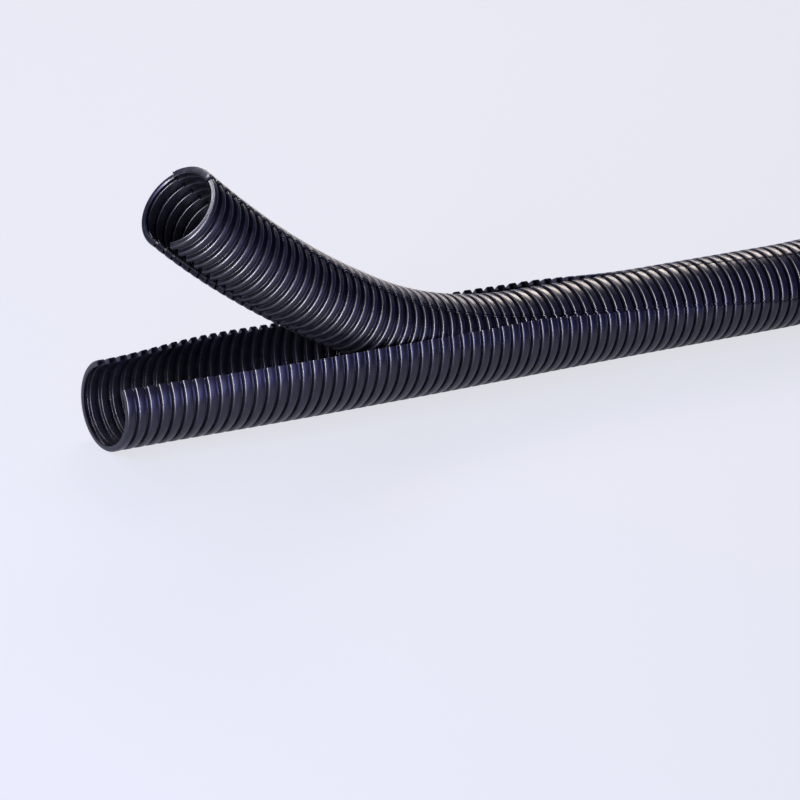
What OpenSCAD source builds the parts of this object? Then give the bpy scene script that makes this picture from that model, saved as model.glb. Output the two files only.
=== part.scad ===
// Divisible corrugated conduit, one metre long: a C-shaped outer shell and a slit inner shell that
// snaps into it.  The two shells lie closed over one end and are drawn apart at the other.
// Each rib is a ring of hollow U section swept over its arc; each groove floor is a short sleeve
// whose ends are buried in the walls of the two ribs beside it.

/* [Corrugation] */
// Outside diameter over the ribs
outer_d = 79.5; // [60:0.5:110]
// Distance from one rib to the next
pitch = 11.4; // [9:0.1:13]
// Height of a rib over the groove floor
rib_h = 4.2; // [3:0.1:6]
// Width of a rib across its crown
rib_w = 8.2; // [6:0.1:10]
// Wall thickness of both shells
wall = 0.9; // [0.7:0.05:1.4]
// Wall thickness of a rib's flanks
side_wall = 1.1; // [0.9:0.05:1.4]
// Reach of the flanks' feet below the groove floor
foot_lip = 0.35; // [0.2:0.05:0.5]
// Reach of the lid's feet below the inner shell's floor
lid_lip = 0.5; // [0.4:0.05:0.7]
// Play between nested surfaces
play = 0.3; // [0.2:0.05:0.5]

/* [Closure] */
// Angle of the gap in the outer shell
opening = 72; // [60:1:90]
// Angle of the slit in the inner shell
slit = 30; // [20:1:40]
// Angle left free at each side of the lid
lid_gap = 0.9; // [0.5:0.1:2]
// Angle by which a groove floor stops short of its ribs' ends
edge_back = 0.5; // [0.2:0.1:1]

/* [Lie] */
// Ribs on each drawn-apart arm
arm_ribs = 38; // [20:1:50]
// Ribs on the straight closed run
run_ribs = 26; // [20:1:40]
// Ribs on the closed bend
bend_ribs = 18; // [10:1:40]
// Ribs on the straight closed end
end_ribs = 5; // [4:1:12]
// Radius of the closed bend along its axis
bend_r = 560; // [560:10:900]
// Radius of the risen arm where it leaves the fork
rise_r = 400; // [400:10:900]
// Radius of the rest of the risen arm
arm_r = 1050; // [400:10:1500]
// Ribs of the risen arm bent to the first radius
rise_ribs = 16; // [8:1:20]
// Turn of the gap from straight up, where the shells part
turn_fork = 6; // [0:1:30]
// Growth of that turn along the straight closed run, degrees a rib
turn_run = 1.56; // [0:0.02:2]
// Fall of that turn over the whole risen arm, in degrees
turn_inner = 29; // [0:1:60]

/* [Parting] */
// Growth in radius of the outer shell where the inner one leaves it
spread = 9; // [7:0.5:10]
// Loss in radius of the inner shell where it leaves
squeeze = 2.4; // [2:0.1:2.6]
// Rise of the inner shell before its arm bends up
lift = 2.6; // [2:0.1:3]
// Swing of the gap towards straight up where the shells part
swing = 12; // [0:1:30]
// Ribs over which a shell changes its radius
ease_ribs = 13; // [12:1:16]
// Ribs over which it is back to size towards its mouth
mouth_ribs = 18; // [12:1:20]

/* [Hidden] */
$fn = 96;
outer_r = outer_d / 2;
root_r = outer_r - rib_h;
bury = side_wall / 2;
mean_r = outer_r - rib_h / 2 - wall / 2;
nest_r = outer_r - wall - play;
nest_root_r = root_r - wall - foot_lip - play;
nest_w = rib_w - 2 * (side_wall + play);
outer_half = 180 - opening / 2;
inner_half = 180 - slit / 2;
lid_half = opening / 2 - lid_gap;
end_deg = wall / mean_r * 180 / PI;
first_rib = -arm_ribs;
last_rib = run_ribs + bend_ribs + end_ribs;
bend_end = run_ribs + bend_ribs;
bend_deg = bend_ribs * pitch / bend_r * 180 / PI;

// Smooth step from 0 at a to 1 at b
function ease(i, a, b) = let (t = min(max((i - a) / (b - a), 0), 1)) t * t * (3 - 2 * t);
// Change of the outer shell's radius at rib i
function grow_outer(i) = spread * (1 - ease(i, -ease_ribs, ease_ribs))
    * ease(i, first_rib, first_rib + mouth_ribs);
// Change of the inner shell's radius at rib i
function grow_inner(i) = -squeeze * (1 - ease(i, 0, ease_ribs))
    * ease(i, first_rib, first_rib + mouth_ribs);
// Half the arc of a shell whose girth stays the same as its radius changes
function half_arc(half, grow) = half * mean_r / (mean_r + grow);
// Turn of the gap from straight up, for each shell
function turn_of_run(i) = turn_fork + turn_run * min(max(i, 0), run_ribs);
function turn_outer_at(i) = turn_of_run(i) - swing * grow_outer(i) / spread;
function turn_inner_at(i) = let (t = min(i, 0) / first_rib)
    turn_of_run(i) - turn_inner * t * (2 - t);
// Way travelled along an arc whose heading goes from a to b over a length
function arc_way(a, b, len) = abs(b - a) < 0.001 ? len * [cos(a), sin(a)]
    : len * 180 / PI / (b - a) * [sin(b) - sin(a), cos(a) - cos(b)];
// Heading at rib i of the closed run, and way of its axis along the floor from the fork to rib i
function yaw_at(i) = bend_deg * min(max((i - run_ribs) / bend_ribs, 0), 1);
function way_at(i) = [min(i, run_ribs) * pitch, 0]
    + arc_way(0, yaw_at(i), min(max(i - run_ribs, 0), bend_ribs) * pitch)
    + arc_way(bend_deg, bend_deg, max(i - bend_end, 0) * pitch);
// Middle of the overall box seen from above, from the outer mouth and fork to the closed end
tail = way_at(last_rib + rib_w / 2 / pitch) + outer_r * [sin(bend_deg), cos(bend_deg)];
middle = ([first_rib * pitch - rib_w / 2, -outer_r - spread] + tail) / 2;
function floor_at(i) = way_at(i) - middle;
// Slope of the risen arm and way of its axis from the fork to rib i
function rise_at(i) = let (n = max(-i, 0))
    (min(n, rise_ribs) / rise_r + max(n - rise_ribs, 0) / arm_r) * pitch * 180 / PI;
function arm_at(i) = let (
        n = max(-i, 0),
        way = arc_way(0, rise_at(-min(n, rise_ribs)), min(n, rise_ribs) * pitch)
            + arc_way(rise_at(-rise_ribs), rise_at(min(i, -rise_ribs)), max(n - rise_ribs, 0) * pitch)
    ) [-way.x, way.y];
// A station: [place, heading, slope, turn, growth, half arc]
function outer_at(i) = let (p = floor_at(i), g = grow_outer(i))
    [[p.x, p.y, outer_r + g], yaw_at(i), 0, turn_outer_at(i), g, half_arc(outer_half, g)];
function inner_at(i) = let (p = floor_at(max(i, 0)), a = arm_at(i), g = grow_inner(i))
    [[p.x + a.x, p.y, outer_r + a.y + lift * (1 - ease(i, 0, ease_ribs))],
        yaw_at(i), rise_at(i), turn_inner_at(i), g, half_arc(inner_half, g)];

// Puts a ring with its axis on the path and its zero angle at the middle of the gap
module place(st) {
    translate(st[0]) rotate([0, 90 + st[2], st[1]]) rotate([0, 0, 180 + st[3]]) children();
}

// An arc of a ring from angle a to angle b
module arc(a, b) {
    rotate_extrude(start = a, angle = b - a) children();
}

// Hollow U section of a rib from the radius of its feet to that of its crown
module rib_section(low, crown, width) {
    difference() {
        translate([low, -width / 2]) square([crown - low, width]);
        translate([low - wall, side_wall - width / 2])
            square([crown - low, width - 2 * side_wall]);
    }
}

// Groove floor between two stations, its arc a to b held back from the ribs' ends
module groove_floor(s, t, root, width, a, b) {
    half = (pitch - width) / 2 + bury;
    back = edge_back + abs(t[3] - s[3]) / 2;
    place([(s[0] + t[0]) / 2, (s[1] + t[1]) / 2, (s[2] + t[2]) / 2, (s[3] + t[3]) / 2])
        arc(a + back, b - back)
            polygon([
                [root + s[4] - wall, -half], [root + s[4], -half],
                [root + t[4], half], [root + t[4] - wall, half]
            ]);
}

module outer_rib(st) {
    gap = 180 - st[5];
    place(st) arc(gap, 360 - gap) rib_section(root_r + st[4] - wall - foot_lip, outer_r + st[4], rib_w);
}

module outer_shell() {
    color([0.16, 0.16, 0.2]) {
        for (i = [first_rib : last_rib]) outer_rib(outer_at(i));
        for (i = [first_rib : last_rib - 1]) {
            s = outer_at(i);
            t = outer_at(i + 1);
            gap = 180 - min(s[5], t[5]);
            groove_floor(s, t, root_r, rib_w, gap, 360 - gap);
        }
    }
}

// Rib of the lid: an arc of U section closed by a wall at each end
module lid_rib(half, crown, low) {
    difference() {
        arc(-half, half) translate([low, -rib_w / 2]) square([crown - low, rib_w]);
        arc(end_deg - half, half - end_deg)
            translate([low - wall, side_wall - rib_w / 2])
                square([crown - low, rib_w - 2 * side_wall]);
    }
}

module inner_rib(st) {
    lid = half_arc(lid_half, st[4]);
    floor_r = nest_root_r + st[4] - wall;
    place(st) {
        lid_rib(lid, outer_r + st[4], floor_r - lid_lip);
        for (side = [0, 180])
            rotate([side, 0, 0])
                arc(lid - end_deg / 2, st[5])
                    rib_section(floor_r - foot_lip, nest_r + st[4], nest_w);
    }
}

module inner_shell() {
    color([0.14, 0.14, 0.18]) {
        for (i = [first_rib : last_rib]) inner_rib(inner_at(i));
        for (i = [first_rib : last_rib - 1]) {
            s = inner_at(i);
            t = inner_at(i + 1);
            half = min(s[5], t[5]);
            groove_floor(s, t, nest_root_r, nest_w, -half, half);
        }
    }
}

outer_shell();
inner_shell();
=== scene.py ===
"""Divisible corrugated conduit: two ribbed plastic shells, closed over one end and parted into two
arms at the other.  Lengths inside the shape functions are millimetres, in the frame of the CAD part."""
import bpy
import numpy as np
from mathutils import Matrix


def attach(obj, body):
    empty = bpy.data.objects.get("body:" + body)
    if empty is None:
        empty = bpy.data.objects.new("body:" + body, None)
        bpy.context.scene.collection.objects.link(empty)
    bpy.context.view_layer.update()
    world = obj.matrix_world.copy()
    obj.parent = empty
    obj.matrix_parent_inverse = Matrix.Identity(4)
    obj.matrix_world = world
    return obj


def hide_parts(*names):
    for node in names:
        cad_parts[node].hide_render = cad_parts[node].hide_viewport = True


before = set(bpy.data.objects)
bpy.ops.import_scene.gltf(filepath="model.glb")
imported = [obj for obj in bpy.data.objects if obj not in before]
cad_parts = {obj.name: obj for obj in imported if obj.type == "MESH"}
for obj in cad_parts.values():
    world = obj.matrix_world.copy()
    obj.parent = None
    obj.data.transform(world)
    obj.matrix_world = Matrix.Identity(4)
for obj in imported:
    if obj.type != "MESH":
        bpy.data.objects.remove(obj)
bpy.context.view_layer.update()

# ---------------------------------------------------------------- camera
CAM_AZ, CAM_EL, CAM_ROLL = -38.21, 27.03, 9.19      # degrees
CAM_AIM = np.array([-186.4, -23.7, -8.8])           # mm
CAM_DIST = 3821.7                                   # mm
SENSOR, LENS = 36.0, 191.223                        # mm: a long lens, as in a studio shot of stock
M = 1000.0                                          # millimetres in a metre


def camera_axes(az, el, roll):
    """Right, up and forward of a camera that looks level along +Y at azimuth 0."""
    a, e, r = np.radians([az, el, roll])
    fwd = np.array([-np.sin(a) * np.cos(e), np.cos(a) * np.cos(e), -np.sin(e)])
    right = np.array([np.cos(a), np.sin(a), 0.0])
    up = np.cross(right, fwd)
    return np.cos(r) * right + np.sin(r) * up, np.cos(r) * up - np.sin(r) * right, fwd


def add_camera():
    """Scene camera, looking at CAM_AIM from CAM_DIST away."""
    right, up, fwd = camera_axes(CAM_AZ, CAM_EL, CAM_ROLL)
    data = bpy.data.cameras.new("camera")
    data.sensor_width, data.lens = SENSOR, LENS
    data.clip_end = 50.0
    cam = bpy.data.objects.new("camera", data)
    bpy.context.scene.collection.objects.link(cam)
    place = (CAM_AIM - fwd * CAM_DIST) / M
    rows = [list(v) + [p] for v, p in zip(np.stack([right, up, -fwd], 1), place)]
    cam.matrix_world = Matrix(rows + [[0, 0, 0, 1]])
    bpy.context.scene.camera = cam


add_camera()

# ---------------------------------------------------------------- the conduit's measures, mm
OUTER_R, PITCH = 39.75, 11.4                # radius over the ribs, distance from rib to rib
RIB_H, RIB_W = 4.2, 8.2                     # height and width of a rib
WALL, SIDE_WALL, PLAY = 0.9, 1.1, 0.3       # crowns and floors, flanks, play between the shells
FOOT_LIP = 0.35                             # reach of the flanks' feet below the groove floor
OPENING, SLIT, LID_GAP = 72.0, 30.0, 0.9    # degrees: outer gap, inner slit, free beside the lid
ROOT_R = OUTER_R - RIB_H
MEAN_R = OUTER_R - RIB_H / 2 - WALL / 2
NEST_R = OUTER_R - WALL - PLAY
NEST_ROOT_R = ROOT_R - WALL - FOOT_LIP - PLAY
NEST_W = RIB_W - 2 * (SIDE_WALL + PLAY)

# ribs of each arm, of the straight closed run, of its bend and of its straight end; rib 0 is the fork
ARM, RUN, BEND, END = 38, 26, 18, 5
LAST = RUN + BEND + END
BEND_R, RISE_R, ARM_R = 560.0, 400.0, 1050.0        # bend of the run, first and second bend of the arm
RISE = 16                                           # ribs of the arm on its first bend
TURN_FORK, TURN_RUN, TURN_INNER = 6.0, 1.56, 29.0   # degrees: at the fork, a rib, and down the arm
SPREAD, SWING = 9.0, 12.0                           # outer arm: growth in radius, swing in degrees
SQUEEZE, LIFT = 2.4, 2.6                            # inner arm: loss in radius, rise at the fork
EASE, MOUTH = 13, 18                                # ribs over which they change and come back
LEAST_TURN = 1e-5                                   # radians, under which an arc is taken as straight


def ease(i, a, b):
    """Smooth step from 0 at a to 1 at b."""
    t = np.clip((i - a) / (b - a), 0, 1)
    return t * t * (3 - 2 * t)


def arc_way(a, b, length):
    """Way travelled along an arc whose heading goes from a to b (radians) over a length."""
    turn = np.where(np.abs(b - a) < LEAST_TURN, LEAST_TURN, b - a)
    return (length / turn * (np.sin(a + turn) - np.sin(a)),
            length / turn * (np.cos(a) - np.cos(a + turn)))


def way(d):
    """Place and heading at distance d (mm) from the fork along the line on the floor: a straight run,
    then an arc of bend radius, then a straight end."""
    total = BEND * PITCH / BEND_R
    past = d - RUN * PITCH
    yaw = total * np.clip(past / (BEND * PITCH), 0, 1)
    x, y = arc_way(0.0 * yaw, yaw, np.clip(past, 0, BEND * PITCH))
    over = np.maximum(past - BEND * PITCH, 0)
    return np.minimum(d, RUN * PITCH) + x + over * np.cos(total), y + over * np.sin(total), yaw


# middle of the overall box seen from above, from the outer mouth and fork to the closed end
end_x, end_y, end_yaw = way(LAST * PITCH + RIB_W / 2)
MIDDLE = np.array([end_x + OUTER_R * np.sin(end_yaw) - ARM * PITCH - RIB_W / 2,
                   end_y + OUTER_R * np.cos(end_yaw) - OUTER_R - SPREAD]) / 2


def floor_line(d):
    """Place and heading at distance d (mm) from the fork, in the part's frame."""
    x, y, yaw = way(d)
    return x - MIDDLE[0], y - MIDDLE[1], yaw


def turn_of_run(i):
    """Turn of the gap from straight up, in degrees: it grows along the straight closed run."""
    return TURN_FORK + TURN_RUN * np.clip(i, 0, RUN)


def outer_path(i):
    """Stations of the outer shell: place, heading, slope, turn of the gap, growth in radius."""
    x, y, yaw = floor_line(i * PITCH)
    grow = SPREAD * (1 - ease(i, -EASE, EASE)) * ease(i, -ARM, MOUTH - ARM)
    turn = turn_of_run(i) - SWING * grow / SPREAD
    return np.stack([x, y, OUTER_R + grow], -1), yaw, 0 * yaw, turn, grow


def inner_path(i):
    """Stations of the inner shell, whose arm rises from the fork on two radii."""
    n = np.maximum(-i, 0)
    n1, n2 = np.minimum(n, RISE), np.maximum(n - RISE, 0)
    rise1, rise = n1 * PITCH / RISE_R, n1 * PITCH / RISE_R + n2 * PITCH / ARM_R
    back1, up1 = arc_way(0 * n, rise1, n1 * PITCH)
    back2, up2 = arc_way(rise1, rise, n2 * PITCH)
    x, y, yaw = floor_line(np.maximum(i, 0) * PITCH)
    grow = -SQUEEZE * (1 - ease(i, 0, EASE)) * ease(i, -ARM, MOUTH - ARM)
    t = n / ARM
    turn = turn_of_run(i) - TURN_INNER * t * (2 - t)
    z = OUTER_R + up1 + up2 + LIFT * (1 - ease(i, 0, EASE))
    return np.stack([x - back1 - back2, y, z], -1), yaw, rise, turn, grow


def frames(path, i):
    """Place, upward and sideways unit vectors, turn in radians and growth at stations i."""
    place, yaw, rise, turn, grow = path(i)
    up = np.stack([np.sin(rise) * np.cos(yaw), np.sin(rise) * np.sin(yaw), np.cos(rise)], -1)
    side = np.stack([np.sin(yaw), -np.cos(yaw), 0 * yaw], -1)
    return place, up, side, np.radians(turn), grow


FOOT_POINTS, CROWN_POINTS = 3, 5            # points on each round of the wave


def rib_line(width, crown, floor, round_out, round_in, lean):
    """One pitch of the wave in (offset along the axis, radius): floor, rounded foot, flank leaning in
    by lean, rounded crown, and the same mirrored."""
    h = width / 2
    foot, top = np.linspace(0, np.pi / 2, FOOT_POINTS), np.linspace(0, np.pi / 2, CROWN_POINTS)
    z = np.concatenate([-h - round_in * (1 - np.sin(foot)), lean - h + round_out * (1 - np.cos(top))])
    r = np.concatenate([floor + round_in * (1 - np.cos(foot)), crown - round_out * (1 - np.sin(top))])
    return np.concatenate([z, -z[::-1]]), np.concatenate([r, r[::-1]])


def wave(first, last, width, crown, floor, rounds):
    """The wave of ribs first..last as stations (fractional rib number) and radii, from the middle of
    one groove to the middle of another.  At the conduit's own ends the foot is cut square."""
    z, r = rib_line(width, crown, floor, *rounds)
    ribs = np.arange(first, last + 1)
    i, radii = (ribs[:, None] + z[None, :] / PITCH).ravel(), np.tile(r, len(ribs))
    if first > -ARM:
        i, radii = np.append(first - 0.5, i), np.append(floor, radii)
    if last < LAST:
        i, radii = np.append(i, last + 0.5), np.append(radii, floor)
    return np.clip(i, -ARM - RIB_W / 2 / PITCH, LAST + RIB_W / 2 / PITCH), radii


def skin(path, angles, from_below, line):
    """Grid (angle, station) of points: place + radius * (up cos + side sin) of turn + angle.
    The arc keeps its girth, so the angle is scaled by mean radius / grown radius, from the bottom
    for the outer shell and from the middle of the lid for the inner one."""
    i, r = line
    place, up, side, turn, grow = frames(path, i)
    fit = MEAN_R / (MEAN_R + grow)
    still = np.pi if from_below else 0.0
    a = turn[None, :] + still + (np.radians(angles)[:, None] - still) * fit[None, :]
    rad = (r + grow)[None, :, None]
    pts = place[None] + rad * (up[None] * np.cos(a)[..., None] + side[None] * np.sin(a)[..., None])
    uv = np.stack([np.broadcast_to(np.radians(angles)[:, None] * MEAN_R, a.shape),
                   np.broadcast_to(i[None, :] * PITCH, a.shape)], -1)
    return pts, uv


def grid_faces(rows, cols):
    """Quads of a grid closed round its rows, and open along its columns."""
    a = np.arange(rows)[:, None] * cols + np.arange(cols - 1)[None, :]
    b = (np.arange(rows)[:, None] + 1) % rows * cols + np.arange(cols - 1)[None, :]
    return np.stack([a, b, b + 1, a + 1], -1).reshape(-1, 4)


def cap_faces(rows, cols, col):
    """Quads across the wall at one end: row k of the outside to its partner on the inside."""
    half = rows // 2
    k = np.arange(half - 1)
    quad = np.stack([k, rows - 1 - k, rows - 2 - k, k + 1], -1) * cols + col
    return quad if col == 0 else quad[:, ::-1]


SHARP = 50.0


def mesh_object(name, pts, faces, uv, material):
    """A smooth mesh in metres from millimetre points, sharp where it bends by over SHARP degrees."""
    me = bpy.data.meshes.new(name)
    me.vertices.add(len(pts))
    me.vertices.foreach_set("co", (pts / M).astype(np.float32).ravel())
    me.loops.add(faces.size)
    me.loops.foreach_set("vertex_index", faces.astype(np.int32).ravel())
    me.polygons.add(len(faces))
    me.polygons.foreach_set("loop_start", np.arange(0, faces.size, 4, dtype=np.int32))
    me.polygons.foreach_set("use_smooth", np.ones(len(faces), bool))
    me.update(calc_edges=True)
    me.uv_layers.new(name="girth")
    me.uv_layers["girth"].data.foreach_set("uv", (uv[faces.ravel()] / M).astype(np.float32).ravel())
    me.set_sharp_from_angle(angle=np.radians(SHARP))
    me.materials.append(material)
    me.validate()
    ob = bpy.data.objects.new(name, me)
    bpy.context.scene.collection.objects.link(ob)
    return ob


def shell_piece(name, outside, inside, material):
    """Closed wall: the outside skin one way round and the inside skin back, capped at both ends."""
    pts = np.concatenate([outside[0], inside[0][::-1]])
    uv = np.concatenate([outside[1], inside[1][::-1]])
    rows, cols = pts.shape[:2]
    faces = np.concatenate([grid_faces(rows, cols), cap_faces(rows, cols, 0),
                            cap_faces(rows, cols, cols - 1)])
    return mesh_object(name, pts.reshape(-1, 3), faces, uv.reshape(-1, 2), material)


# ---------------------------------------------------------------- materials
def linear(code):
    """sRGB hex to linear RGBA."""
    c = np.array([int(code[k:k + 2], 16) for k in (1, 3, 5)]) / 255.0
    c = np.where(c <= 0.04045, c / 12.92, ((c + 0.055) / 1.055) ** 2.4)
    return (*map(float, c), 1.0)


def node(tree, kind, links=(), **settings):
    """Adds a node; settings named in_X set input X, others set properties, and links are
    (input, socket)."""
    n = tree.nodes.new(kind)
    for key, value in settings.items():
        if key.startswith("in_"):
            name = key[3:].replace("_", " ")
            n.inputs[int(name) if name.isdigit() else name].default_value = value
        else:
            setattr(n, key, value)
    for name, socket in links:
        tree.links.new(n.inputs[name], socket)
    return n


def moulded_plastic(name, dark, light):
    """Black polypropylene, formed in a corrugator: a satin skin with fine streaks round the girth
    from the mould blocks, and a faint mottle where it is handled."""
    mat = bpy.data.materials.new(name)
    mat.use_nodes = True
    t = mat.node_tree
    t.nodes.clear()
    uv = node(t, "ShaderNodeUVMap", uv_map="girth")
    # streaks 0.35 mm apart along the axis and 12 mm long round the girth
    stretch = node(t, "ShaderNodeMapping", [("Vector", uv.outputs["UV"])], in_Scale=(80.0, 2800.0, 1.0))
    streak = node(t, "ShaderNodeTexNoise", [("Vector", stretch.outputs["Vector"])],
                  in_Scale=1.0, in_Detail=3.0)
    where = node(t, "ShaderNodeTexCoord")
    # mottle about 8 mm across, grain about 0.4 mm
    mottle = node(t, "ShaderNodeTexNoise", [("Vector", where.outputs["Object"])],
                  in_Scale=120.0, in_Detail=4.0)
    grain = node(t, "ShaderNodeTexNoise", [("Vector", where.outputs["Object"])],
                 in_Scale=2500.0, in_Detail=2.0)
    tone = node(t, "ShaderNodeValToRGB", [("Fac", mottle.outputs["Fac"])])
    tone.color_ramp.elements[0].position, tone.color_ramp.elements[0].color = 0.3, linear(dark)
    tone.color_ramp.elements[1].position, tone.color_ramp.elements[1].color = 0.75, linear(light)
    rough = node(t, "ShaderNodeMapRange", [("Value", mottle.outputs["Fac"])],
                 in_From_Min=0.3, in_From_Max=0.7, in_To_Min=0.27, in_To_Max=0.36)
    both = node(t, "ShaderNodeMath", [(0, streak.outputs["Fac"]), (1, grain.outputs["Fac"])],
                operation="ADD")
    bump = node(t, "ShaderNodeBump", [("Height", both.outputs["Value"])],
                in_Strength=0.25, in_Distance=0.06 / M)
    satin = node(t, "ShaderNodeBsdfPrincipled",
                 [("Base Color", tone.outputs["Color"]), ("Roughness", rough.outputs["Result"]),
                  ("Normal", bump.outputs["Normal"])], in_IOR=1.49)
    node(t, "ShaderNodeOutputMaterial", [("Surface", satin.outputs["BSDF"])])
    return mat


outer_plastic = moulded_plastic("black_polypropylene_outer", "#060609", "#0c0c12")
inner_plastic = moulded_plastic("black_polypropylene_inner", "#060608", "#0b0b10")

# ---------------------------------------------------------------- the shells
OUTSIDE = (1.7, 0.5, 0.3)       # crown round, foot round and lean of the flanks, outside
INSIDE = (0.4, 0.45, 0.2)       # the same inside the wall
NOTCH, NIB = 2.0, 1.1           # degrees: notch across each lid rib, and the nib left at its end
NOTCH_DEEP = 1.1                # mm
STEP = 0.1                      # degrees over which a rib's height steps along its arc
OUTER_ROWS, FLANK_ROWS, LID_ROWS = 65, 31, 15   # rows of points round each stretch of the girth


def outer_section(first, last):
    """Outer shell over ribs first..last: one wave outside, one a wall's thickness inside."""
    angles = np.linspace(OPENING / 2, 360 - OPENING / 2, OUTER_ROWS)
    out = wave(first, last, RIB_W, OUTER_R, ROOT_R, OUTSIDE)
    ins = wave(first, last, RIB_W - 2 * SIDE_WALL, OUTER_R - WALL, ROOT_R - WALL, INSIDE)
    return skin(outer_path, angles, True, out), skin(outer_path, angles, True, ins)


def join(*parts):
    """Grids of points and of UV that follow each other round the girth, as one."""
    return tuple(np.concatenate([p[k] for p in parts]) for k in (0, 1))


def inner_section(first, last):
    """Inner shell over ribs first..last: a lid of full ribs between two nested flanks of narrow ones.
    Near each end of the lid a notch runs across the ribs and leaves a nib at the end."""
    lid, half = OPENING / 2 - LID_GAP, 180 - SLIT / 2
    flank, top = np.linspace(lid + STEP, half, FLANK_ROWS), lid - NIB - NOTCH - STEP
    nib, notch = np.array([lid - NIB, lid]), np.array([top + STEP, top + NOTCH])
    rows = ((-nib[::-1], 0), (-notch[::-1], NOTCH_DEEP), (np.linspace(-top, top, LID_ROWS), 0),
            (notch, NOTCH_DEEP), (nib, 0))
    grids = []
    for cut, depth, rounds in ((0.0, 0.0, OUTSIDE), (2 * SIDE_WALL, WALL, INSIDE)):
        nest = wave(first, last, NEST_W - cut, NEST_R - depth, NEST_ROOT_R - depth, rounds)
        cover = [skin(inner_path, angles, False,
                      wave(first, last, RIB_W - cut, OUTER_R - depth - low, NEST_ROOT_R - depth, rounds))
                 for angles, low in rows]
        grids.append(join(skin(inner_path, -flank[::-1], False, nest), *cover,
                          skin(inner_path, flank, False, nest)))
    return grids


# each shell is drawn in lengths of under 200,000 triangles, which meet in the middle of a groove
OUTER_CUT, ARM_CUT, RUN_CUT = 5, -8, 25         # last rib before each cut

pieces = []
for name, first, last in (("outer_shell_arm", -ARM, OUTER_CUT), ("outer_shell_run", OUTER_CUT + 1, LAST)):
    shell = shell_piece(name, *outer_section(first, last), outer_plastic)
    pieces.append((shell, "outer_shell", "outer_black"))
for name, first, last in (("inner_shell_arm", -ARM, ARM_CUT), ("inner_shell_fork", ARM_CUT + 1, RUN_CUT),
                          ("inner_shell_end", RUN_CUT + 1, LAST)):
    shell = shell_piece(name, *inner_section(first, last), inner_plastic)
    pieces.append((shell, "inner_shell", "inner_black"))
for ob, cad_node, slot in pieces:
    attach(ob, "root")
    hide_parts(cad_node)

# ---------------------------------------------------------------- floor and light
FLOOR = 12.0                    # m, side of the square floor
SEEN, MIRRORED = 0.78, 0.5      # share of the floor's own paleness to the camera and in the plastic


def pale_floor():
    """Matt floor which shows evenly pale to the camera and in the plastic, and keeps the shadow."""
    me = bpy.data.meshes.new("floor")
    corners = ((-1, -1), (1, -1), (1, 1), (-1, 1))
    me.from_pydata([(FLOOR / 2 * x, FLOOR / 2 * y, 0) for x, y in corners], [], [(0, 1, 2, 3)])
    ob = bpy.data.objects.new("floor", me)
    bpy.context.scene.collection.objects.link(ob)
    mat = bpy.data.materials.new("pale_floor")
    mat.use_nodes = True
    t = mat.node_tree
    t.nodes.clear()
    matt = node(t, "ShaderNodeBsdfPrincipled", in_Base_Color=linear("#666e8c"), in_Roughness=0.6)
    pale = node(t, "ShaderNodeEmission", in_Color=linear("#f3f4f7"))
    ray = node(t, "ShaderNodeLightPath")
    mirrored = node(t, "ShaderNodeMath", [(0, ray.outputs["Is Glossy Ray"])],
                    operation="MULTIPLY", in_1=MIRRORED)
    share = node(t, "ShaderNodeMath",
                 [(0, ray.outputs["Is Camera Ray"]), (2, mirrored.outputs["Value"])],
                 operation="MULTIPLY_ADD", in_1=SEEN)
    both = node(t, "ShaderNodeMixShader",
                [("Fac", share.outputs["Value"]), (1, matt.outputs["BSDF"]),
                 (2, pale.outputs["Emission"])])
    node(t, "ShaderNodeOutputMaterial", [("Surface", both.outputs["Shader"])])
    me.materials.append(mat)


def area_lamp(name, place, aim, along, size, power, colour):
    """Rectangular lamp at place, facing aim, with its long side nearest to the direction along;
    metres and watts."""
    data = bpy.data.lights.new(name, "AREA")
    data.shape, data.size, data.size_y = "RECTANGLE", size[0], size[1]
    data.energy, data.color = power, linear(colour)[:3]
    ob = bpy.data.objects.new(name, data)
    bpy.context.scene.collection.objects.link(ob)
    z = np.array(place, float) - np.array(aim, float)
    z /= np.linalg.norm(z)
    x = np.array(along, float) - np.dot(along, z) * z
    x /= np.linalg.norm(x)
    y = np.cross(z, x)
    ob.matrix_world = Matrix([[x[k], y[k], z[k], place[k]] for k in range(3)] + [[0, 0, 0, 1]])


pale_floor()
FORK = (-0.1, 0.0, 0.05)
# three narrow strips on the left draw the thin bright line along the edge of each rib
area_lamp("left_strip", (-2.4, -0.9, 1.06), FORK, (0.12, 0.69, 0.71), (2.7, 0.45), 260.0, "#f4f2ff")
area_lamp("high_strip", (-1.6, 1.3, 2.2), FORK, (0.5, 0.86, 0.1), (2.4, 0.3), 70.0, "#f4f2ff")
area_lamp("low_strip", (-2.3, -2.1, 0.3), FORK, (0.69, -0.72, 0.0), (1.6, 0.3), 30.0, "#d8dcff")
# a warm one behind for the tops, and a wide violet one in front for the near sides
area_lamp("back", (1.6, 2.6, 1.9), (0.0, 0.0, 0.05), (1.0, -0.6, 0.0), (2.6, 1.2), 130.0, "#fff2e8")
area_lamp("front_fill", (-0.9, -2.5, 1.0), (0.0, 0.0, 0.0), (1.0, 0.0, 0.0), (3.6, 1.5), 95.0,
          "#a6a8ff")

# blue light all round, behind which the camera sees a pale wall
world = bpy.data.worlds.new("world")
world.use_nodes = True
tree = world.node_tree
tree.nodes.clear()
sky = node(tree, "ShaderNodeBackground", in_Color=linear("#8490ff"), in_Strength=0.25)
wall = node(tree, "ShaderNodeBackground", in_Color=linear("#e8eaf1"), in_Strength=1.0)
eye = node(tree, "ShaderNodeLightPath")
either = node(tree, "ShaderNodeMixShader",
              [("Fac", eye.outputs["Is Camera Ray"]), (1, sky.outputs["Background"]),
               (2, wall.outputs["Background"])])
node(tree, "ShaderNodeOutputWorld", [("Surface", either.outputs["Shader"])])
bpy.context.scene.world = world
bpy.context.scene.view_settings.view_transform = "Standard"
